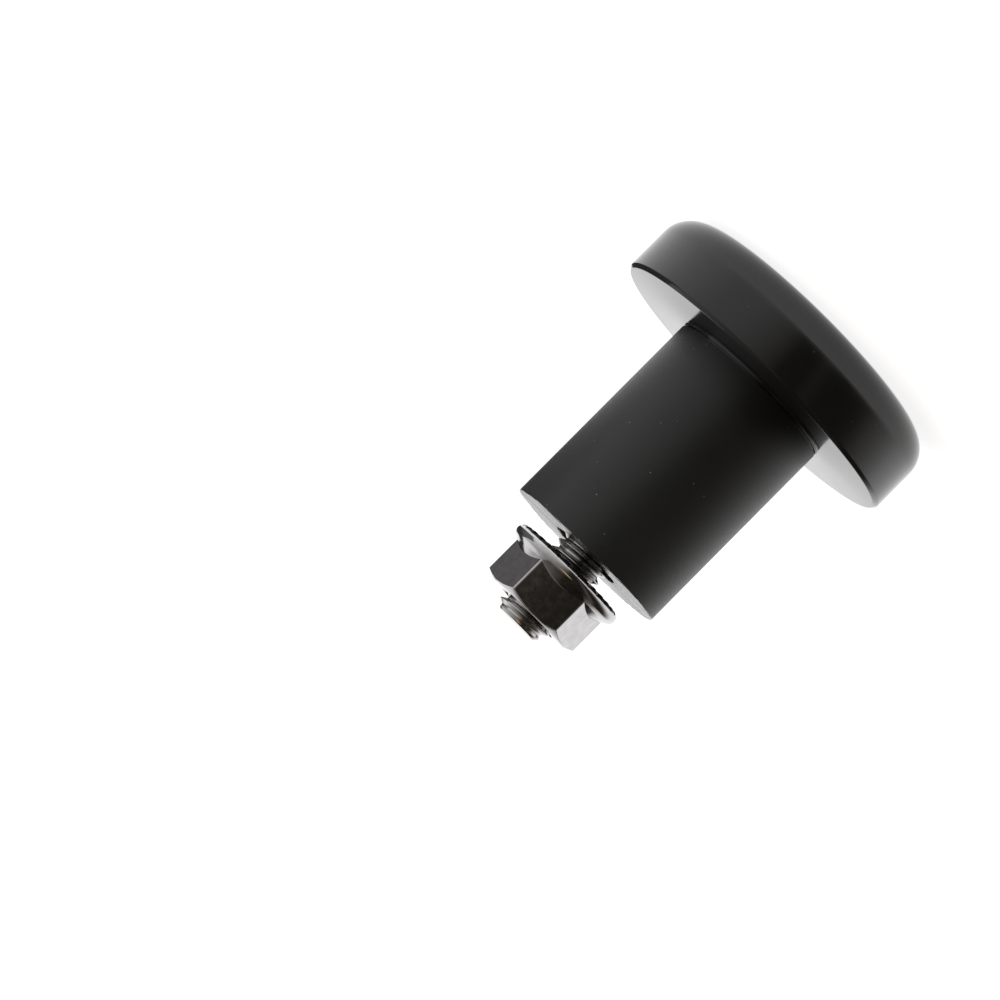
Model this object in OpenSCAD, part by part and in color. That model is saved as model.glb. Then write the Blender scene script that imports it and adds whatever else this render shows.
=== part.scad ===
// Bar end weight for a motorcycle handlebar. It stands on the face of its head, and +Z runs
// along the screw from the head to the nut. Everything is in millimetres.

/* [Head] */
// Diameter of the head
head_d = 33.6; // [28:0.1:40]
// Thickness of the head, from the lip of its recess to its back face
head_t = 8.4; // [7:0.1:12]
// Radius of the sphere that the face is turned to
face_radius = 160; // [80:1:400]
// Radius of the rounded edge between the face and the rim
edge_r = 3; // [1.5:0.1:4]
// Chamfer between the rim and the back face
back_chamfer = 0.35; // [0.1:0.05:1]
// Radius of the rounded lip of the screw's recess
lip_r = 0.7; // [0.2:0.05:0.8]

/* [Neck and sleeve] */
// Diameter of the neck and the rubber sleeve, which go into the handlebar
body_d = 18; // [14:0.1:20]
// Length of the low neck that the sleeve seats on
neck_len = 0.4; // [0.3:0.05:1.5]
// Chamfer at the end of the neck
neck_chamfer = 0.15; // [0.05:0.05:0.25]
// Length of the rubber sleeve, unpressed
sleeve_len = 22.6; // [18:0.1:24]
// Diameter of the hole through the rubber sleeve
sleeve_bore_d = 7.8; // [7:0.1:10]

/* [Screw] */
// Nominal diameter of the thread and the shank
thread_d = 6; // [5:0.1:6.2]
// Length of the screw, from the top of its head to its tip
screw_len = 40; // [38.6:0.1:44]
// Depth of the screw's head below the lip of its recess
head_inset = 0.8; // [0.6:0.05:1.2]
// Diameter of the screw's head
screw_head_d = 11.6; // [10.5:0.1:13]
// Height of the straight land round the screw's head
head_land = 0.3; // [0.1:0.05:0.6]
// Plain length of the screw, from the top of its head to its first thread
plain_len = 16; // [8:0.5:22]
// Chamfer at the tip of the screw
tip_chamfer = 0.7; // [0.2:0.05:1]
// Width across the flats of the hexagon socket
socket_af = 4; // [3:0.1:5]
// Depth of the socket's straight walls
socket_depth = 2.3; // [1.5:0.1:2.6]

/* [Flange nut] */
// Width across the flats of the hexagon
nut_af = 10; // [8:0.1:11]
// Height of the nut
nut_h = 6; // [5:0.1:6.3]
// Diameter of the flange
flange_d = 13.2; // [12.9:0.1:15]
// Radius of the flange's rounded rim
rim_r = 0.7; // [0.5:0.05:0.75]
// Height of the flange where the hexagon's corners stand on it
crease_h = 1.6; // [1.45:0.05:2]
// Slope of the fillet between the flange and the hexagon's faces, in degrees
root_slope = 45; // [35:1:60]
// Diameter of the flat end inside the hexagon's end chamfer
end_flat_d = 9.6; // [8:0.1:9.8]
// Slope of the hexagon's end chamfer, in degrees
end_slope = 30; // [15:1:35]
// Number of serrations under the flange
tooth_count = 30; // [20:1:36]
// Depth of the serrations at the flange's rim
tooth_depth = 0.4; // [0.2:0.05:0.5]
// Diameter of the ring inside the serrations
tooth_inner_d = 8; // [7.5:0.1:9]
// Share of each serration's pitch at the rim that its steep side takes
steep_share = 0.25; // [0.1:0.05:0.3]
// Share of each serration's pitch at the rim that its shallow side takes
shallow_share = 0.7; // [0.4:0.05:0.7]
// Chamfer at both ends of the nut's bore
bore_chamfer = 0.45; // [0.2:0.05:0.5]
// Free gap between the sleeve and the nut, as the nut is delivered
nut_gap = 1.9; // [0.5:0.1:2.4]

/* [Fits] */
// Clearance all round the shank in the head's hole
hole_gap = 0.25; // [0.1:0.05:0.5]
// Clearance all round the screw's head in its recess
recess_gap = 0.2; // [0.1:0.05:0.4]
// Clearance between the two cones, square to them
cone_gap = 0.05; // [0.02:0.01:0.1]
// Distance of the screw's thread crests from the nominal diameter
crest_gap = 0.05; // [0.02:0.01:0.1]
// Distance of the nut's bore from the nominal diameter
nut_bore_gap = 0.03; // [0.01:0.01:0.08]

/* [Hidden] */
$fn = 96;
// Overshoot of cutting shapes past the faces they cut
past = 1;
// Steps along the arcs of a turned outline: a small round, the face, and the edge of the head
round_steps = 10;
face_steps = 8;
edge_steps = 16;

head_r = head_d / 2;
body_r = body_d / 2;
shank_r = thread_d / 2;
screw_head_r = screw_head_d / 2;
hole_r = shank_r + hole_gap;

// Levels along the axis, from the face upwards
neck_end = head_t + neck_len;
sleeve_end = neck_end + sleeve_len;
nut_seat = sleeve_end + nut_gap;
land_end = head_inset + head_land;
screw_tip = head_inset + screw_len;

// The recess: its wall clears the screw's head, and its 45 degree cone clears the screw's cone
recess_r = screw_head_r + recess_gap;
cone_shift = cone_gap * sqrt(2);
recess_wall_end = land_end + cone_shift - recess_gap;
recess_cone_end = land_end + cone_shift + screw_head_r - hole_r;

// The face is a sphere that is tangent to the lip's arc and to the edge's arc. The lip's arc
// touches z = 0, so the head stands on it
lip_centre = [recess_r + lip_r, lip_r];
face_centre = [0, lip_r + sqrt(pow(face_radius - lip_r, 2) - pow(lip_centre.x, 2))];
edge_centre = [head_r - edge_r,
    face_centre.y - sqrt(pow(face_radius - edge_r, 2) - pow(head_r - edge_r, 2))];
lip_angle = direction(face_centre, lip_centre);
edge_angle = direction(face_centre, edge_centre);

// The flange: a rounded rim, a straight slope that is tangent to it, and a crease where the
// hexagon's corners stand
corner_r = nut_af / 2 / cos(30);
rim_centre = [flange_d / 2 - rim_r, rim_r];
crease = [corner_r, crease_h];
rim_angle = direction(rim_centre, crease) - acos(rim_r / norm(crease - rim_centre));

function direction(from, to) = atan2(to.y - from.y, to.x - from.x);

// Points on an arc round c, from angle a to angle b, leaving out skip points at both ends
function arc(c, r, a, b, steps, skip = 0) =
    [for (i = [skip:steps - skip])
        c + r * [cos(a + (b - a) * i / steps), sin(a + (b - a) * i / steps)]];

module turned(profile) {
    rotate_extrude() polygon(profile);
}

module end_cap() {
    profile = concat(
        [[hole_r, recess_cone_end], [recess_r, recess_wall_end]],
        arc(lip_centre, lip_r, 180, 360 + lip_angle, round_steps),
        arc(face_centre, face_radius, lip_angle, edge_angle, face_steps, skip = 1),
        arc(edge_centre, edge_r, edge_angle, 0, edge_steps),
        [[head_r, head_t - back_chamfer], [head_r - back_chamfer, head_t],
            [body_r, head_t], [body_r, neck_end - neck_chamfer],
            [body_r - neck_chamfer, neck_end], [hole_r, neck_end]]);
    color([0.09, 0.09, 0.10]) turned(profile);
}

module rubber_sleeve() {
    color([0.17, 0.17, 0.18])
    translate([0, 0, neck_end])
    difference() {
        cylinder(d = body_d, h = sleeve_len);
        translate([0, 0, -past]) cylinder(d = sleeve_bore_d, h = sleeve_len + 2 * past);
    }
}

module countersunk_screw() {
    crest_r = shank_r - crest_gap;
    cone_len = screw_head_r - shank_r;
    profile = [
        [0, head_inset], [screw_head_r, head_inset], [screw_head_r, land_end],
        [shank_r, land_end + cone_len], [shank_r, head_inset + plain_len],
        [crest_r, head_inset + plain_len + crest_gap], [crest_r, screw_tip - tip_chamfer],
        [crest_r - tip_chamfer, screw_tip], [0, screw_tip]];
    color([0.77, 0.76, 0.75])
    difference() {
        turned(profile);
        hex_socket();
    }
}

// The hexagon of the socket, with the cone that its drill left at the bottom
module hex_socket() {
    drill_r = socket_af / 2;
    drill_point = drill_r * tan(30);
    translate([0, 0, head_inset - past])
        linear_extrude(past + socket_depth) circle(r = drill_r / cos(30), $fn = 6);
    translate([0, 0, head_inset + socket_depth])
        turned([[0, -past], [drill_r, -past], [drill_r, 0], [0, drill_point]]);
}

module flange_nut() {
    color([0.72, 0.72, 0.73])
    translate([0, 0, nut_seat])
    difference() {
        union() {
            nut_hexagon();
            nut_flange();
        }
        nut_bore();
        for (i = [0:tooth_count - 1]) rotate(i * 360 / tooth_count) serration();
    }
}

// The hexagon, whose end chamfer is a cone that meets each face in an arc
module nut_hexagon() {
    end_flat_r = end_flat_d / 2;
    chamfer_r = corner_r + past;
    chamfer_drop = (chamfer_r - end_flat_r) * tan(end_slope);
    intersection() {
        linear_extrude(nut_h) circle(r = corner_r, $fn = 6);
        turned([[0, 0], [chamfer_r, 0], [chamfer_r, nut_h - chamfer_drop],
            [end_flat_r, nut_h], [0, nut_h]]);
    }
}

// The flange, with a cone on it that meets each face of the hexagon in an arc and ends inside it
module nut_flange() {
    root_r = (corner_r + shank_r) / 2;
    root_top = crease_h + (corner_r - root_r) * tan(root_slope);
    turned(concat(
        [[0, 0]],
        arc(rim_centre, rim_r, -90, rim_angle, round_steps),
        [crease, [root_r, root_top], [0, root_top]]));
}

// The threaded bore, opened by a cone at each end
module nut_bore() {
    bore_r = shank_r + nut_bore_gap;
    mouth_r = bore_r + bore_chamfer;
    mouth = [[0, -past], [mouth_r, -past], [mouth_r, 0], [bore_r, bore_chamfer], [0, bore_chamfer]];
    translate([0, 0, -past]) cylinder(r = bore_r, h = nut_h + 2 * past);
    turned(mouth);
    translate([0, 0, nut_h]) mirror([0, 0, 1]) turned(mouth);
}

// One groove between two teeth. It runs outwards, starts at nothing inside the ring, and gets
// deeper to the rim. One of its sides is steep and the other is shallow, as on a ratchet
module serration() {
    inner_r = tooth_inner_d / 2;
    rim_pitch = PI * flange_d / tooth_count;
    steep = steep_share * rim_pitch / tooth_depth;
    shallow = shallow_share * rim_pitch / tooth_depth;
    slope = atan(tooth_depth / (flange_d / 2 - inner_r));
    translate([inner_r, 0, 0])
        rotate([0, -slope, 0])
        rotate([90, 0, 90])
        linear_extrude(flange_d / 2)
        polygon([[0, 0], [-shallow * past, -past], [steep * past, -past]]);
}

end_cap();
rubber_sleeve();
countersunk_screw();
flange_nut();
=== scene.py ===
# %% [markdown]
# # A bar end weight, modelled and dressed in Blender
# This weight closes the end of a motorcycle's handlebar. It has four pieces: a turned head with a
# black coat, a thick rubber sleeve, a countersunk screw, and a flange nut that draws the sleeve
# tight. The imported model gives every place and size, and this script builds the finished surfaces
# round it.

# %% Load the frame
import math

import bmesh
import bpy
from mathutils import Matrix, Vector, noise


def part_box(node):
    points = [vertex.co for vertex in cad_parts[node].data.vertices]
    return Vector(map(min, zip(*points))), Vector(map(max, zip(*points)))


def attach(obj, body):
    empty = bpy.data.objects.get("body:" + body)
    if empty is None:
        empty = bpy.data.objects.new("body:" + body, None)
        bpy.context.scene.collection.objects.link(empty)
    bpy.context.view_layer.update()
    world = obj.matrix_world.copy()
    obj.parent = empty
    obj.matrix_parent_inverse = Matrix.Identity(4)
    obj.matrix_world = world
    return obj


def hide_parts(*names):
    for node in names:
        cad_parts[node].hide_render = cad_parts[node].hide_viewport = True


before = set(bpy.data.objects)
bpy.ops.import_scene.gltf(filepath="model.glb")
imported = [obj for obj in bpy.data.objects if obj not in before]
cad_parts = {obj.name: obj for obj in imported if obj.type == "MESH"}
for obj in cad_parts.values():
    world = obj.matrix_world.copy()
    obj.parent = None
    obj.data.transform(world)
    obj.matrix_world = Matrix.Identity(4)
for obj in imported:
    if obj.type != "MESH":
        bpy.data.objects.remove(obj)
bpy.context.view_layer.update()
MM = 0.001


# %% [markdown]
# ## Sizes
# A box round each node gives the main sizes, so nothing has to be fitted by eye. The finer sizes
# that a box can't show, such as the radius of an edge, are written once in the step that needs
# them, in millimetres.

# %% Sizes from the frame, in millimetres
def node_size(node):
    """Radius, lowest and highest level of a node."""
    low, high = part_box(node)
    return (high.x - low.x) / 2 / MM, low.z / MM, high.z / MM


head_r, _, neck_end = node_size("end_cap")
sleeve_r, sleeve_start, sleeve_end = node_size("rubber_sleeve")
screw_head_r, screw_top, screw_tip = node_size("countersunk_screw")
flange_r, nut_seat, nut_end = node_size("flange_nut")
print(f"head radius {head_r:.2f}, sleeve from {sleeve_start:.2f} to {sleeve_end:.2f}")
print(f"screw from {screw_top:.2f} to {screw_tip:.2f}, nut from {nut_seat:.2f} to {nut_end:.2f}")

# %% [markdown]
# ## The camera
# The picture was taken from some way off with a long lens, a little above the level of the nut. The
# camera is turned about its own axis, so that the screw, which stands upright in the model, points
# down to the left. The places are real ones in millimetres, and the turn is one angle.

# %% Camera
lens_mm, sensor_mm = 138.6, 36
eye = Vector((16.25, -372.13, 58.27)) * MM
aim = Vector((9.606, 0.419, 33.374)) * MM
roll = math.radians(135.06)
nearest, farthest = 0.01, 20

camera = bpy.data.objects.new("camera", bpy.data.cameras.new("camera"))
bpy.context.collection.objects.link(camera)
camera.data.lens, camera.data.sensor_width = lens_mm, sensor_mm
camera.data.clip_start, camera.data.clip_end = nearest, farthest
camera.location = eye
level_view = (aim - eye).to_track_quat("-Z", "Y").to_matrix()
camera.rotation_euler = (level_view @ Matrix.Rotation(-roll, 3, "Z")).to_euler()
bpy.context.scene.camera = camera
bpy.context.scene.view_settings.view_transform = "Standard"
print(f"camera {(aim - eye).length / MM:.0f} mm away")

# %% [markdown]
# ## Outlines with soft corners
# Every piece of this weight comes from a lathe, a press or a cutter, so it starts as an outline of
# radius and height. No real edge is a perfect knife edge: a small round catches a highlight, and
# that is what makes an edge look solid. So one helper draws arcs, and one rounds the corners of an
# outline.

# %% Outline helpers
shortest_side, least_angle = 1e-6, 0.01
# The most that a rounded corner takes of each of its sides
side_share = 0.48


def arc(centre, radius, start, end, steps):
    """Points on an arc between two angles in degrees."""
    turns = [math.radians(start + (end - start) * i / steps) for i in range(steps + 1)]
    return [Vector((centre[0] + radius * math.cos(t), centre[1] + radius * math.sin(t)))
            for t in turns]


def direction(start, end):
    """Angle in degrees of the way from one point to another."""
    return math.degrees(math.atan2(end[1] - start[1], end[0] - start[0]))


def rounded_corner(before, corner, after, radius, steps):
    """Points that round one corner, closer to it than the radius asks where a side is short."""
    a, b = before - corner, after - corner
    if min(a.length, b.length) < shortest_side:
        return [corner.copy() for _ in range(steps + 1)]
    wanted = radius / math.tan(max(a.angle(b) / 2, least_angle))
    reach = min(wanted, side_share * a.length, side_share * b.length)
    start, end = corner + a.normalized() * reach, corner + b.normalized() * reach
    shares = [i / steps for i in range(steps + 1)]
    return [start * (1 - t) ** 2 + corner * 2 * t * (1 - t) + end * t ** 2 for t in shares]


def rounded(corners, radii, steps=4):
    """A closed outline with rounded corners. A radius of None keeps its point as it is."""
    points = [Vector(corner) for corner in corners]
    outline = []
    for i, (point, radius) in enumerate(zip(points, radii)):
        if radius is None:
            outline.append(point)
        else:
            after = points[(i + 1) % len(points)]
            outline += rounded_corner(points[i - 1], point, after, radius, steps)
    return outline


soft_square = rounded([(0, 0), (1, 0), (1, 1), (0, 1)], [0.1] * 4)
print("a square with soft corners has", len(soft_square), "points")

# %% [markdown]
# ## A lathe
# `bmesh.ops.spin` is Blender's lathe: it sweeps an outline round an axis. A spin slows down as its
# mesh grows, so it makes one part of the round, and the rest are turned copies. Each vertex keeps
# its number on the outline, in a layer that the copies keep too. A later step can then find a
# vertex's place on the outline.

# %% Lathe
spin_parts = 12


def outline_ring(bm, outline, closed):
    """The outline's vertices and edges, over the X axis."""
    ring = [bm.verts.new((radius * MM, 0, height * MM)) for radius, height in outline]
    pairs = list(zip(ring, ring[1:])) + ([(ring[-1], ring[0])] if closed else [])
    return ring, [bm.edges.new(pair) for pair in pairs]


def spin(bm, geom, angle, steps, climb=0.0):
    """Sweeps the geometry round Z, and raises it a little at each step."""
    bmesh.ops.spin(bm, geom=geom, cent=(0, 0, 0), axis=(0, 0, 1), dvec=(0, 0, climb),
                   angle=angle, steps=steps, use_merge=False, use_duplicate=False)


def repeat(bm, copies, turn=0.0, climb=0.0):
    """Copies of all that is there, each turned round Z and raised a little more than the last."""
    first = bm.verts[:] + bm.edges[:] + bm.faces[:]
    for number in range(1, copies):
        made = bmesh.ops.duplicate(bm, geom=first)["geom"]
        verts = [part for part in made if isinstance(part, bmesh.types.BMVert)]
        bmesh.ops.rotate(bm, verts=verts, matrix=Matrix.Rotation(number * turn, 3, "Z"))
        bmesh.ops.translate(bm, verts=verts, vec=(0, 0, number * climb))


def turned_blank(outline, steps, closed=True):
    """A bmesh of the outline spun round Z. An open outline starts and ends on the axis."""
    bm = bmesh.new()
    row = bm.verts.layers.int.new("row")
    ring, edges = outline_ring(bm, outline, closed)
    for number, vert in enumerate(ring):
        vert[row] = number
    spin(bm, ring + edges, math.tau / spin_parts, steps // spin_parts)
    repeat(bm, spin_parts, turn=math.tau / spin_parts)
    return bm


print("each blank is spun in", spin_parts, "parts")

# %% [markdown]
# ## From a bmesh to a piece
# The copies only touch, so their doubles are merged first, and that closes the skin. Then all faces
# turn outwards. Shading is smooth where faces meet at a small angle and sharp elsewhere.

# %% Finishing a piece
merge_distance = 2e-6
sharp_angle = math.radians(35)


def new_object(bm, name):
    """An object in the scene, made from a bmesh that isn't needed any more."""
    mesh = bpy.data.meshes.new(name)
    bm.to_mesh(mesh)
    bm.free()
    made = bpy.data.objects.new(name, mesh)
    bpy.context.collection.objects.link(made)
    return made


def smooth_shaded(mesh):
    mesh.polygons.foreach_set("use_smooth", [True] * len(mesh.polygons))
    mesh.set_sharp_from_angle(angle=sharp_angle)


def finished(bm, name):
    """A closed piece from a bmesh: doubles merged, normals outwards, smooth shading."""
    bmesh.ops.remove_doubles(bm, verts=bm.verts, dist=merge_distance)
    bmesh.ops.recalc_face_normals(bm, faces=bm.faces)
    open_edges = sum(not edge.is_manifold for edge in bm.edges)
    print(f"{name}: {len(bm.faces)} faces, {open_edges} open edges")
    piece = new_object(bm, name)
    smooth_shaded(piece.data)
    return piece


print(f"edges over {math.degrees(sharp_angle):.0f} degrees stay sharp")

# %% [markdown]
# ## The outline of the head
# The real head is turned from bar. Its face is a very slight dome, with a large round where it
# meets the rim and a small chamfer at the back. The back is flat and butts on the handlebar. A low
# neck on it seats the sleeve, with a fine groove round it that shows as a dark line. The screw's
# recess has a rounded lip, and its wall and cone clear the screw's head by small gaps. The face is
# an arc that is tangent to the arcs of the lip and of the rim's round, so their centres follow from
# its radius.

# %% Head outline
back_chamfer, neck_h = 0.35, 0.4
groove_h, groove_depth = 0.15, 0.3
face_radius, edge_r, lip_r = 160, 3, 0.7
shank_r, hole_gap = 3.0, 0.25
screw_land, recess_gap, cone_gap = 0.3, 0.2, 0.05
lip_steps, face_steps, edge_steps = 12, 14, 28
# Short straight stretches between the arcs and the rounded corners
rim_start, wall_rest = 0.5, 0.05

back_z, groove_z = neck_end - neck_h, neck_end - groove_h
groove_r, hole_r, recess_r = sleeve_r - groove_depth, shank_r + hole_gap, screw_head_r + recess_gap
wall_end = screw_top + screw_land + cone_gap * math.sqrt(2) - recess_gap
cone_end = wall_end + recess_r - hole_r
lip_centre = (recess_r + lip_r, lip_r)
face_centre = (0, lip_r + math.sqrt((face_radius - lip_r) ** 2 - lip_centre[0] ** 2))
edge_x = head_r - edge_r
edge_centre = (edge_x, face_centre[1] - math.sqrt((face_radius - edge_r) ** 2 - edge_x ** 2))
lip_angle, edge_angle = direction(face_centre, lip_centre), direction(face_centre, edge_centre)

face_side = (arc(lip_centre, lip_r, 180, 360 + lip_angle, lip_steps)
             + arc(face_centre, face_radius, lip_angle, edge_angle, face_steps)[1:-1]
             + arc(edge_centre, edge_r, edge_angle, 0, edge_steps))
back_side = rounded(
    [(head_r, edge_centre[1] + rim_start), (head_r, back_z - back_chamfer),
     (head_r - back_chamfer, back_z), (sleeve_r, back_z), (sleeve_r, groove_z),
     (groove_r, groove_z), (groove_r, neck_end), (hole_r, neck_end), (hole_r, cone_end),
     (recess_r, wall_end), (recess_r, lip_r + wall_rest)],
    [None, 0.2, 0.2, 0.05, 0.03, 0.03, 0.03, 0.1, 0.1, 0.1, None])
print(len(face_side), "points on the face's side,", len(back_side), "on the back's side")

# %% [markdown]
# ## Turning the head
# The head is round all over, so one spun outline gives all of it. Its steps are fine enough for the
# long soft highlights on the rim.

# %% Head
head_steps = 240

head = finished(turned_blank(face_side + back_side, head_steps), "coated_head")
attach(head, "cap_and_sleeve")
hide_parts("end_cap")

# %% [markdown]
# ## A press
# Some pieces aren't quite round. Their blank is spun all the same, and a press then moves each
# vertex to its place on the outline that belongs to its own angle, as a forging press or a broach
# moves the metal of a turned blank. Edges of the real shape then lie along the mesh, and stay
# crisp.

# %% Press
def press(bm, section):
    """Moves each vertex of a blank to its place on the section at the vertex's own angle."""
    row = bm.verts.layers.int["row"]
    sections = {}
    for vert in bm.verts:
        angle = math.atan2(vert.co.y, vert.co.x)
        step = round(math.degrees(angle) * 100)
        if step not in sections:
            sections[step] = section(angle)
        radius, height = sections[step][vert[row]]
        vert.co = Vector((radius * math.cos(angle), radius * math.sin(angle), height)) * MM
    print("pressed to", len(sections), "sections")


# %% [markdown]
# ## The sleeve
# The sleeve is a length of thick rubber tube, cut with a knife. The cut isn't quite even, so the
# end face waves by a few hundredths of a millimetre and its rims are a little ragged. The noise is
# read on a circle round the axis, so it closes on itself without a seam.

# %% Sleeve
sleeve_steps = 288
sleeve_bore_r, sleeve_skin = 3.9, 0.02
cut_wave, rag = 0.06, 0.05
wave_rate, outer_rate, inner_rate = 2.5, 16, 9
inner_place = Vector((0, 0, 5))


def sleeve_section(angle):
    around = Vector((math.cos(angle), math.sin(angle), 0))
    outer_rag = rag * noise.noise(around * outer_rate)
    inner_rag = rag * noise.noise(around * inner_rate + inner_place)
    cut_z = sleeve_end - cut_wave + cut_wave * noise.noise(around * wave_rate)
    skin_r = sleeve_r - sleeve_skin
    corners = [(sleeve_bore_r, sleeve_start), (skin_r, sleeve_start),
               (skin_r, cut_z + outer_rag), (sleeve_bore_r + inner_rag, cut_z + inner_rag)]
    return rounded(corners, [0.1, 0.04, 0.09 + outer_rag, 0.1 + inner_rag])


sleeve_bm = turned_blank(sleeve_section(0), sleeve_steps)
press(sleeve_bm, sleeve_section)
sleeve = finished(sleeve_bm, "expander_sleeve")
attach(sleeve, "cap_and_sleeve")
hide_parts("rubber_sleeve")

# %% [markdown]
# ## The screw's head and shank
# The head is turned and drilled first. Then a broach presses the drilled hole out to a hexagon:
# each ring of the hole moves out to the hexagon's wall at its own angle. In polar form, a hexagon's
# wall is half the width across its flats, over the cosine of the angle from the middle of the
# nearest flat.

# %% Screw head and shank
screw_steps = 240
plain_len = 16
socket_half, socket_depth, drill_r, socket_lip = 2.0, 2.3, 1.95, 0.06
# Half the angle that one side of a hexagon spans
half_side = math.radians(30)

thread_start = screw_top + plain_len
socket_end = screw_top + socket_depth
land_end = screw_top + screw_land


def from_flat(angle):
    """Degrees from the middle of the hexagon's nearest flat. One flat faces -Y."""
    return math.degrees(angle) % 60 - 30


def screw_section(angle):
    wall = socket_half / math.cos(math.radians(from_flat(angle)))
    corners = [(0, socket_end + drill_r * math.tan(half_side)), (drill_r, socket_end),
               (wall, socket_end), (wall, screw_top + socket_lip), (wall + socket_lip, screw_top),
               (screw_head_r, screw_top), (screw_head_r, land_end),
               (shank_r, land_end + screw_head_r - shank_r), (shank_r, thread_start),
               (0, thread_start)]
    return rounded(corners, [None, 0.03, 0.04, 0.02, 0.02, 0.12, 0.06, 0.5, 0.1, None])


shank_bm = turned_blank(screw_section(0), screw_steps, closed=False)
press(shank_bm, screw_section)
screw = finished(shank_bm, "socket_screw")

# %% [markdown]
# ## Screw threads
# A spin can climb as well: with a small move along Z at each step, the lathe cuts a helix. The
# outline is one pitch of the thread. Each turn ends where the turn above it starts, so the doubles
# merge into one long skin. Two planes cut the ends off square, and the holes they leave are filled.

# %% Threaded rod
thread_steps, pitch, spare_turns = 96, 1.0, 3
crest_r, root_r = 2.95, 2.4
crest_share, root_share = 0.06, 0.38


def threaded_rod(crest, root, start, end):
    """A bmesh of a right-handed rod from one level to another."""
    outline = rounded([(crest, 0), (crest, crest_share), (root, root_share),
                       (root, 1 - root_share), (crest, 1 - crest_share), (crest, 1)],
                      [None, 0.06, 0.12, 0.12, 0.06, None], steps=3)
    first = math.floor(start / pitch) - 1
    bm = bmesh.new()
    first_turn = [(radius, (first + share) * pitch) for radius, share in outline]
    ring, edges = outline_ring(bm, first_turn, closed=False)
    spin(bm, ring + edges, math.tau, thread_steps, climb=pitch * MM / thread_steps)
    repeat(bm, math.ceil((end - start) / pitch) + spare_turns, climb=pitch * MM)
    bmesh.ops.remove_doubles(bm, verts=bm.verts, dist=merge_distance)
    for level, way in ((start, -1), (end, 1)):
        everything = bm.verts[:] + bm.edges[:] + bm.faces[:]
        bmesh.ops.bisect_plane(bm, geom=everything, clear_outer=True, dist=1e-7,
                               plane_co=(0, 0, level * MM), plane_no=(0, 0, way))
    bmesh.ops.holes_fill(bm, edges=[edge for edge in bm.edges if edge.is_boundary], sides=0)
    return bm


print(f"M{2 * shank_r:.0f} thread with a pitch of {pitch} mm")

# %% [markdown]
# ## The screw's thread
# The thread starts shallow, as a rolled one does, and a chamfer trims its crests at the tip. Both
# are limits on a vertex's radius. The rod reaches a little way into the plain shank, and a boolean
# joins the two into one solid.

# %% Screw thread
run_in, thread_overlap, tip_chamfer = 0.8, 0.5, 0.7


def use_tool(piece, tool, operation):
    """Joins a piece with another one, or cuts it, and uses the other one up."""
    modifier = piece.modifiers.new("tool", "BOOLEAN")
    modifier.operation, modifier.object, modifier.solver = operation, tool, "MANIFOLD"
    evaluated = piece.evaluated_get(bpy.context.evaluated_depsgraph_get())
    piece.data = bpy.data.meshes.new_from_object(evaluated)
    piece.modifiers.clear()
    bpy.data.objects.remove(tool)
    smooth_shaded(piece.data)
    print(f"{piece.name}: {len(piece.data.polygons)} faces after {operation.lower()}")


rod_bm = threaded_rod(crest_r, root_r, thread_start - thread_overlap, screw_tip)
for vert in rod_bm.verts:
    radius, height = vert.co.xy.length / MM, vert.co.z / MM
    cut = min(max((height - thread_start) / run_in, 0), 1)
    limit = crest_r - tip_chamfer + screw_tip - height
    vert.co.xy *= min(crest_r - (crest_r - radius) * cut, limit) / radius
use_tool(screw, finished(rod_bm, "thread"), "UNION")
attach(screw, "screw")
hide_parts("countersunk_screw")

# %% [markdown]
# ## The nut's hexagon
# The nut's wrench flats are pressed, so its six upright edges are slightly rounded. The wall's
# radius at an angle is the flat's, or else that of a small circle set into the corner.

# %% Hexagon of the nut
nut_half, corner_round = 5.0, 0.25
corner_r = nut_half / math.cos(half_side)
round_centre_r = (nut_half - corner_round) / math.cos(half_side)


def hexagon_wall(angle):
    """Radius of the hexagon with rounded corners."""
    from_corner = math.radians(30 - abs(from_flat(angle)))
    flat_end = math.atan2(corner_round / 2, round_centre_r + corner_round * math.cos(half_side))
    if from_corner > flat_end:
        return nut_half / math.cos(math.radians(from_flat(angle)))
    across = round_centre_r * math.sin(from_corner)
    return round_centre_r * math.cos(from_corner) + math.sqrt(corner_round ** 2 - across ** 2)


print(f"wall at {hexagon_wall(half_side):.2f} mm on a flat, {hexagon_wall(0):.2f} on a corner")

# %% [markdown]
# ## The nut's teeth
# Ratchet teeth under the flange bite into the rubber, so that the nut doesn't turn with the screw.
# Each is a groove with a steep side and a shallow one. It gets deeper towards the rim, and the land
# beside it is flat. A smooth maximum of the two keeps their edge from being a knife edge.

# %% Teeth of the nut
tooth_count, tooth_depth, tooth_inner_r = 30, 0.4, 4.0
steep_share, shallow_share, tooth_soft = 0.25, 0.7, 0.03


def tooth_height(radius, angle):
    """Height of the ratchet's surface over the flat it is cut into."""
    deepest = tooth_depth * (radius - tooth_inner_r) / (flange_r - tooth_inner_r)
    share = math.degrees(angle) / 360 * tooth_count % 1
    spread = radius / flange_r
    fall = max(-share * spread / steep_share, -(1 - share) * spread / shallow_share) * tooth_depth
    return (deepest + fall + math.hypot(deepest + fall, tooth_soft)) / 2


print(f"{tooth_count} grooves, {tooth_height(flange_r, 0):.2f} mm deep at the rim")

# %% [markdown]
# ## The nut's section
# A flange nut is forged. Its end has a conical chamfer, and a second cone rises from the flange,
# and both meet each flat of the hexagon in an arc. In a section at one angle, a cone is just a
# sloping line that stops at the hexagon's wall, so the arcs come by themselves.

# %% Nut section
crease_h, rim_r, end_flat_r = 1.6, 0.7, 4.8
root_rise = 0.75
mouth_r, minor_r = 3.48, 2.52
rim_steps = 18
# Rings of points across the teeth
tooth_rings = (3.6, 4.0, 4.3, 4.7, 5.1, 5.5)

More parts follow.
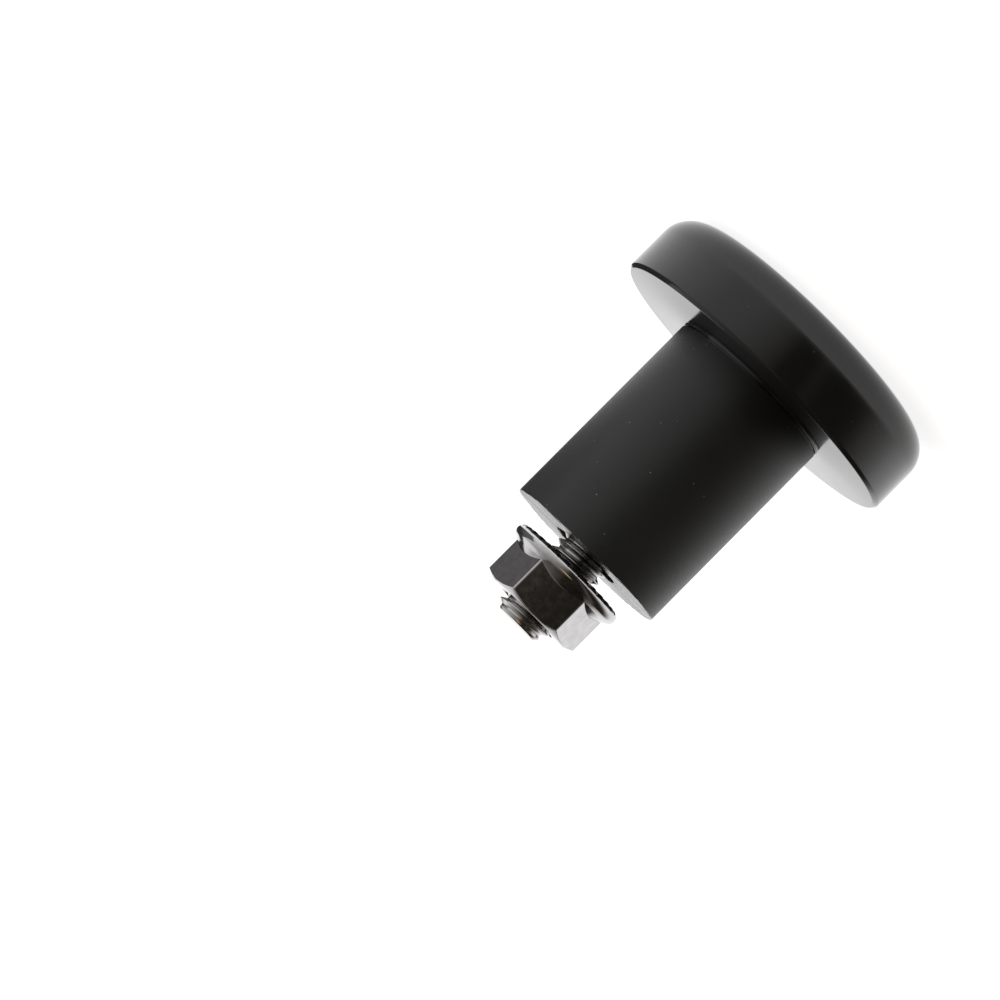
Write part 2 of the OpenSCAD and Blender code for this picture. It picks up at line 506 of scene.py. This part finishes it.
nut_h, mouth_h = nut_end - nut_seat, mouth_r - minor_r
rim_centre, crease = Vector((flange_r - rim_r, rim_r)), Vector((corner_r, crease_h))
tangent = math.acos(rim_r / (crease - rim_centre).length)
rim_angle = direction(rim_centre, crease) - math.degrees(tangent)


def nut_section(angle):
    """The nut's outline at one angle: out under the flange, up the outside and down the bore."""
    wall = hexagon_wall(angle)
    under = [Vector((radius, 0)) for radius in tooth_rings]
    under += arc(rim_centre, rim_r, -90, rim_angle, rim_steps)
    under = [Vector((p.x, max(p.y, tooth_height(p.x, angle)))) for p in under]
    over = rounded(
        [under[-1], crease, (wall, crease_h + root_rise * (corner_r - wall)),
         (wall, nut_h - (wall - end_flat_r) * math.tan(half_side)), (end_flat_r, nut_h),
         (mouth_r, nut_h), (minor_r, nut_h - mouth_h), (minor_r, mouth_h), (mouth_r, 0)],
        [None, 0.08, 0.14, 0.07, 0.15, 0.04, 0.1, 0.1, None])
    return [Vector((p.x, nut_seat + p.y)) for p in under + over[1:]]


print(len(nut_section(0)), "points in a section")

# %% [markdown]
# ## Pressing and tapping the nut
# The blank is spun from one section, and the press gives it the others, 24 for each tooth. The tap
# is a threaded rod, a little larger than the screw, that follows the same helix, so the screw turns
# in the nut with air between their threads.

# %% Nut
nut_steps = 24 * tooth_count
tap_gap, tap_reach = 0.08, 1

nut_bm = turned_blank(nut_section(0), nut_steps)
press(nut_bm, nut_section)
nut = finished(nut_bm, "flange_nut_forged")
tap_bm = threaded_rod(crest_r + tap_gap, root_r + tap_gap,
                      nut_seat - tap_reach, nut_end + tap_reach)
use_tool(nut, finished(tap_bm, "tap"), "DIFFERENCE")
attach(nut, "nut")
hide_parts("flange_nut")

# %% [markdown]
# ## Writing materials
# A material here is a small tree of nodes over one Principled shader. One helper adds a node and
# fills its inputs, each from a number, a colour or another node's output. Another wires the results
# to the shader.

# %% Node helpers
def material_tree(name, **sockets):
    """A new material, its tree and its Principled shader, with some of the sockets set."""
    material = bpy.data.materials.new(name)
    material.use_nodes = True
    shader = material.node_tree.nodes["Principled BSDF"]
    for socket, value in sockets.items():
        shader.inputs[socket.replace("_", " ")].default_value = value
    return material, material.node_tree, shader


def add(tree, kind, settings=(), **inputs):
    """A new node. Inputs are named with _ for spaces, or i0, i1 and so on for their number."""
    node = tree.nodes.new("ShaderNode" + kind)
    for name, value in dict(settings).items():
        setattr(node, name, value)
    for name, value in inputs.items():
        numbered = name[0] == "i" and name[1:].isdigit()
        socket = node.inputs[int(name[1:])] if numbered else node.inputs[name.replace("_", " ")]
        if isinstance(value, bpy.types.NodeSocket):
            tree.links.new(value, socket)
        else:
            socket.default_value = value
    return node


def calc(tree, operation, first, second):
    return add(tree, "Math", {"operation": operation}, i0=first, i1=second).outputs["Value"]


def wire(tree, shader, **results):
    """Links node outputs to the shader's inputs, which are named with _ for spaces."""
    for socket, result in results.items():
        tree.links.new(result, shader.inputs[socket.replace("_", " ")])


def dress(piece, material):
    piece.data.materials.clear()
    piece.data.materials.append(material)
    nodes = len(material.node_tree.nodes)
    print(piece.name, "wears", material.name, "with", nodes, "nodes")


print("materials that came with the frame:", len(bpy.data.materials))

# %% [markdown]
# ## Patterns
# Patterns read Object coordinates, in metres, so a scale of 1000 makes marks about one millimetre
# across. Blender's noise stays mostly between 0.3 and 0.7, so that range is spread over the values
# that a finish needs.

# %% Pattern helpers
noise_low, noise_high = 0.3, 0.7


def coordinates(tree, stretch=(1, 1, 1)):
    place = add(tree, "TexCoord").outputs["Object"]
    return add(tree, "Mapping", Vector=place, Scale=stretch).outputs["Vector"]


def grain(tree, place, scale, detail=3.0, roughness=0.5):
    """Noise with features of about 1 / scale metres."""
    node = add(tree, "TexNoise", Vector=place, Scale=scale, Detail=detail, Roughness=roughness)
    return node.outputs["Fac"]


def ranged(tree, value, low, high, to_low=0.0, to_high=1.0):
    """A value moved from one range to another and clamped there."""
    node = add(tree, "MapRange", i0=value, i1=low, i2=high, i3=to_low, i4=to_high)
    return node.outputs["Result"]


def spread(tree, value, to_low=0.0, to_high=1.0):
    """Noise moved to another range."""
    return ranged(tree, value, noise_low, noise_high, to_low, to_high)


def mixed(tree, share, first, second):
    """A colour or a value between two others."""
    node = add(tree, "Mix", {"data_type": "RGBA"}, i0=share, i6=first, i7=second)
    return node.outputs[2]


def height_of(tree, place):
    return add(tree, "SeparateXYZ", Vector=place).outputs["Z"]


def bump(tree, height, strength, distance_mm, below=None):
    """A bump, on top of another one where below is given."""
    node = add(tree, "Bump", Height=height, Strength=strength, Distance=distance_mm * MM)
    if below is not None:
        tree.links.new(below, node.inputs["Normal"])
    return node.outputs["Normal"]


def specks(tree, place, scale, size, share):
    """1 inside small round specks and 0 elsewhere. Only a share of the cells holds one."""
    cells = add(tree, "TexVoronoi", Vector=place, Scale=scale)
    dot = ranged(tree, cells.outputs["Distance"], size * 0.5, size, 1.0, 0.0)
    chosen = add(tree, "SeparateColor", Color=cells.outputs["Color"]).outputs["Red"]
    kept = ranged(tree, chosen, 1 - share - 0.01, 1 - share)
    return calc(tree, "MULTIPLY", dot, kept)


print("noise is spread from", noise_low, "to", noise_high)

# %% [markdown]
# ## The black coat
# The head wears a thin satin black paint. Up close it has a faint orange peel, a finer tooth, and a
# few dust specks that were caught in the coat. The peel is a bump, and the gloss changes a little
# from place to place, so that long reflections look sprayed and not computed. The back face got
# less paint, so its tooth stands out more.

# %% Black coat
coat_black, coat_faded = (0.020, 0.020, 0.0205, 1), (0.026, 0.026, 0.0265, 1)
coat_dust = (0.06, 0.06, 0.06, 1)
dry_from, dry_to = (back_z - 0.1) * MM, (back_z - 0.03) * MM


def black_coat():
    material, tree, shader = material_tree("satin_black_paint")
    place = coordinates(tree)
    peel, tooth = grain(tree, place, 900.0, 2.0), grain(tree, place, 9000.0, 3.0, 0.6)
    patches = grain(tree, place, 160.0, 3.0)
    dust = specks(tree, place, 1100.0, 0.16, 0.12)
    tint = mixed(tree, spread(tree, patches), coat_black, coat_faded)
    dry = ranged(tree, height_of(tree, place), dry_from, dry_to, 0.06, 1.0)
    relief = bump(tree, peel, 0.10, 0.008)
    relief = bump(tree, tooth, dry, 0.003, relief)
    wire(tree, shader, Base_Color=mixed(tree, dust, tint, coat_dust),
         Roughness=spread(tree, patches, 0.09, 0.14), Normal=bump(tree, dust, 0.3, 0.01, relief))
    return material


dress(head, black_coat())

# %% [markdown]
# ## The rubber
# The sleeve's rubber is matt and almost black. Its skin is finely grained from the mould, and a
# little pale dust has settled on it in patches. A rubber's gloss is weak and wide, so the roughness
# is high and uneven. The knife left the cut end smoother, and so it shines more.

# %% Black rubber
rubber_black, rubber_faded = (0.018, 0.018, 0.018, 1), (0.026, 0.026, 0.026, 1)
rubber_cut, rubber_dust = (0.035, 0.035, 0.035, 1), (0.28, 0.28, 0.28, 1)
cut_from, cut_to = (sleeve_end - 0.2) * MM, (sleeve_end - 0.15) * MM


def black_rubber():
    material, tree, shader = material_tree("cut_black_rubber", Specular_IOR_Level=0.44)
    place = coordinates(tree)
    skin, patches = grain(tree, place, 5200.0, 4.0, 0.65), grain(tree, place, 220.0, 3.0)
    settled = ranged(tree, grain(tree, place, 330.0, 2.0), 0.50, 0.60)
    dust = calc(tree, "MULTIPLY", specks(tree, place, 1900.0, 0.16, 0.16), settled)
    cut_end = ranged(tree, height_of(tree, place), cut_from, cut_to)
    tint = mixed(tree, cut_end, mixed(tree, patches, rubber_black, rubber_faded), rubber_cut)
    rough = mixed(tree, cut_end, spread(tree, skin, 0.36, 0.48), spread(tree, skin, 0.14, 0.26))
    wire(tree, shader, Base_Color=mixed(tree, dust, tint, rubber_dust), Roughness=rough,
         Normal=bump(tree, skin, 0.45, 0.008))
    return material


dress(sleeve, black_rubber())

# %% [markdown]
# ## The screw's steel
# The screw is bright steel with a thin plating. Its head was rolled and rubbed flat, and it shows a
# satin shine with a few fine scratches. Noise that is stretched along one direction gives
# scratches.

# %% Screw steel
steel_dark, steel_light = (0.46, 0.45, 0.43, 1), (0.62, 0.61, 0.60, 1)
along_x = (1, 22, 22)


def screw_steel():
    material, tree, shader = material_tree("satin_plated_steel", Metallic=1.0)
    place = coordinates(tree)
    blotches, fine = grain(tree, place, 500.0, 4.0, 0.6), grain(tree, place, 7000.0, 2.0)
    scratches = ranged(tree, grain(tree, coordinates(tree, along_x), 260.0, 3.0, 0.6), 0.66, 0.72)
    relief = bump(tree, fine, 0.2, 0.004)
    wire(tree, shader, Base_Color=mixed(tree, blotches, steel_dark, steel_light),
         Roughness=spread(tree, blotches, 0.15, 0.27),
         Normal=bump(tree, scratches, 0.2, 0.004, relief))
    return material


dress(screw, screw_steel())

# %% [markdown]
# ## The nut's plating
# The nut is plated and brighter than the screw. The forging under the plating is a little wavy,
# which breaks its reflections into soft dark and light patches.

# %% Nut plating
plating_dark, plating_light = (0.46, 0.45, 0.45, 1), (0.58, 0.57, 0.58, 1)


def nut_plating():
    material, tree, shader = material_tree("bright_plating", Metallic=1.0)
    place = coordinates(tree)
    waves, blotches = grain(tree, place, 420.0, 2.0), grain(tree, place, 1400.0, 4.0, 0.6)
    fine = grain(tree, place, 9000.0, 2.0)
    relief = bump(tree, waves, 0.25, 0.03)
    relief = bump(tree, blotches, 0.1, 0.006, relief)
    wire(tree, shader, Base_Color=mixed(tree, spread(tree, blotches), plating_dark, plating_light),
         Roughness=spread(tree, blotches, 0.07, 0.16), Normal=bump(tree, fine, 0.1, 0.001, relief))
    return material


dress(nut, nut_plating())

# %% [markdown]
# ## The floor
# The weight stands on a small round table. Its glow adds enough light to show it as pure white, and
# only where the camera or a mirror-like surface looks at it, so the weight is lit no brighter. A
# shadow still shows where the table gets less light. The table ends close to the head: a wide white
# floor would stand in the head's round rim as one grey band, and hide the studio's lights and darks
# there.

# %% Floor
table_r, table_sides = 36, 96
glow = 0.85

floor_bm = bmesh.new()
bmesh.ops.create_circle(floor_bm, cap_ends=True, segments=table_sides, radius=table_r * MM)
floor = new_object(floor_bm, "floor")

floor_material, tree, shader = material_tree(
    "white_floor", Base_Color=(0.8, 0.8, 0.8, 1), Roughness=0.9, Emission_Color=(1, 1, 1, 1))
ray = add(tree, "LightPath").outputs
mirrored = calc(tree, "MAXIMUM", ray["Is Glossy Ray"], ray["Is Transmission Ray"])
seen = calc(tree, "MAXIMUM", ray["Is Camera Ray"], mirrored)
wire(tree, shader, Emission_Strength=ranged(tree, seen, 0.0, 1.0, 0.0, glow))
floor.data.materials.append(floor_material)
print("floor", 2 * table_r, "mm wide")

# %% [markdown]
# ## The studio
# The weight stood in a bright white tent with an opening for the camera. Metal shows that opening
# as a dark, warm patch, and without it a nut looks flat. The world is that tent. Its walls stand
# round an axis, and the angle round the axis gives a place on the walls, with 0 at the camera's
# side. The axis leans back from the camera, so the opening reaches up over the weight.

# %% Tent
lean = math.radians(55)

world = bpy.data.worlds.new("tent")
bpy.context.scene.world = world
world.use_nodes = True
tree = world.node_tree
way = add(tree, "TexCoord").outputs["Generated"]
leaning = add(tree, "Mapping", Vector=way, Rotation=(lean, 0, 0)).outputs["Vector"]
leaning = add(tree, "SeparateXYZ", Vector=leaning).outputs
angle = calc(tree, "ARCTAN2", leaning["X"], calc(tree, "MULTIPLY", leaning["Y"], -1.0))
print(f"tent leaning back by {math.degrees(lean):.0f} degrees")

# %% [markdown]
# ## The tent's walls
# A colour ramp says how bright the walls are at each angle, from black at 0 to white at 1, and how
# warm. Warm light has less green and much less blue. The walls are white at the back and dark round
# the camera, with one faint strip of light on the -X side. They close overhead in white.

# %% Walls
# Angle in degrees, brightness and warmth
walls = [(-180, 1.0, 0.0), (-109, 1.0, 0.0), (-93, 0.47, 0.1), (-81, 0.09, 0.5), (-74, 0.03, 0.5),
         (-54, 0.015, 0.5), (-43, 0.09, 0.4), (-30, 0.015, 0.5), (-2, 0.02, 0.5), (17, 0.21, 0.2),
         (61, 0.59, 0.0), (78, 0.63, 0.0), (90, 0.82, 0.0), (108, 1.0, 0.0), (180, 1.0, 0.0)]
less_green, less_blue = 0.25, 0.6
white = (1, 1, 1, 1)
top_from, top_to = 0.88, 0.94

ramp = add(tree, "ValToRGB", Fac=ranged(tree, angle, -math.pi, math.pi))
stops = ramp.color_ramp.elements
for degrees, _, _ in walls[1:-1]:
    stops.new(degrees / 360 + 0.5)
for stop, (_, bright, warm) in zip(stops, walls):
    stop.color = (bright, bright * (1 - less_green * warm), bright * (1 - less_blue * warm), 1)
overhead = ranged(tree, leaning["Z"], top_from, top_to)
tent = mixed(tree, overhead, ramp.outputs["Color"], white)
print("tent with", len(stops), "stops")

# %% [markdown]
# ## A warm lamp
# A small warm lamp, high over the camera, gives the nut's dark faces their fine golden edges. It is
# a spot on the tent: the dot product of two directions is nearly 1 where they almost agree. The
# camera itself sees plain white where it looks past the weight.

# %% Lamp and backdrop
lamp_way, lamp_colour = (0.044, -0.498, 0.866), (0.60, 0.40, 0.20, 1)
lamp_from, lamp_to = 0.976, 0.993
tent_strength = 1.2

agreement = add(tree, "VectorMath", {"operation": "DOT_PRODUCT"}, i0=way, i1=lamp_way)
lamp = ranged(tree, agreement.outputs["Value"], lamp_from, lamp_to)
lit_tent = mixed(tree, lamp, tent, lamp_colour)
to_camera = add(tree, "LightPath").outputs["Is Camera Ray"]
background = tree.nodes["Background"]
background.inputs["Strength"].default_value = tent_strength
wire(tree, background, Color=mixed(tree, to_camera, lit_tent, white))
print(f"lamp {2 * math.degrees(math.acos(lamp_from)):.0f} degrees wide")

# %% [markdown]
# ## A dark card
# Photographers stand dark cards beside shiny things, to give a flat face a darker tone than its
# neighbours. This one stands behind the weight on its +X side, and gets darker towards its far end.
# It tones down one face of the nut and that side of the sleeve and of the head's chamfer. Only
# reflections show it: it hides nothing from the camera and casts no shadow.

# %% Dark card
card_way, card_distance = math.radians(128), 150
card_width, card_low, card_high = 230, 5, 130
grey_until, black_from = 75, 115
card_grey, card_black = (0.34, 0.34, 0.34, 1), (0.08, 0.08, 0.08, 1)

card_bm = bmesh.new()
bmesh.ops.create_grid(card_bm, x_segments=1, y_segments=1, size=0.5)
sides = Vector((card_width, card_high - card_low, 1)) * MM
bmesh.ops.scale(card_bm, verts=card_bm.verts, vec=sides)
bmesh.ops.rotate(card_bm, verts=card_bm.verts, matrix=Matrix.Rotation(math.pi / 2, 3, "X"))
middle = Vector((0, -card_distance, (card_low + card_high) / 2)) * MM
bmesh.ops.translate(card_bm, verts=card_bm.verts, vec=middle)
bmesh.ops.rotate(card_bm, verts=card_bm.verts, matrix=Matrix.Rotation(card_way, 3, "Z"))
card = new_object(card_bm, "dark_card")
card.visible_camera = card.visible_diffuse = card.visible_shadow = False

card_material, tree, shader = material_tree("grey_to_black_card", Roughness=1.0)
depth = add(tree, "SeparateXYZ", Vector=coordinates(tree)).outputs["Y"]
darkness = ranged(tree, depth, grey_until * MM, black_from * MM)
wire(tree, shader, Base_Color=mixed(tree, darkness, card_grey, card_black))
card.data.materials.append(card_material)
print("card corners in mm:", [[round(v / MM) for v in vert.co] for vert in card.data.vertices])
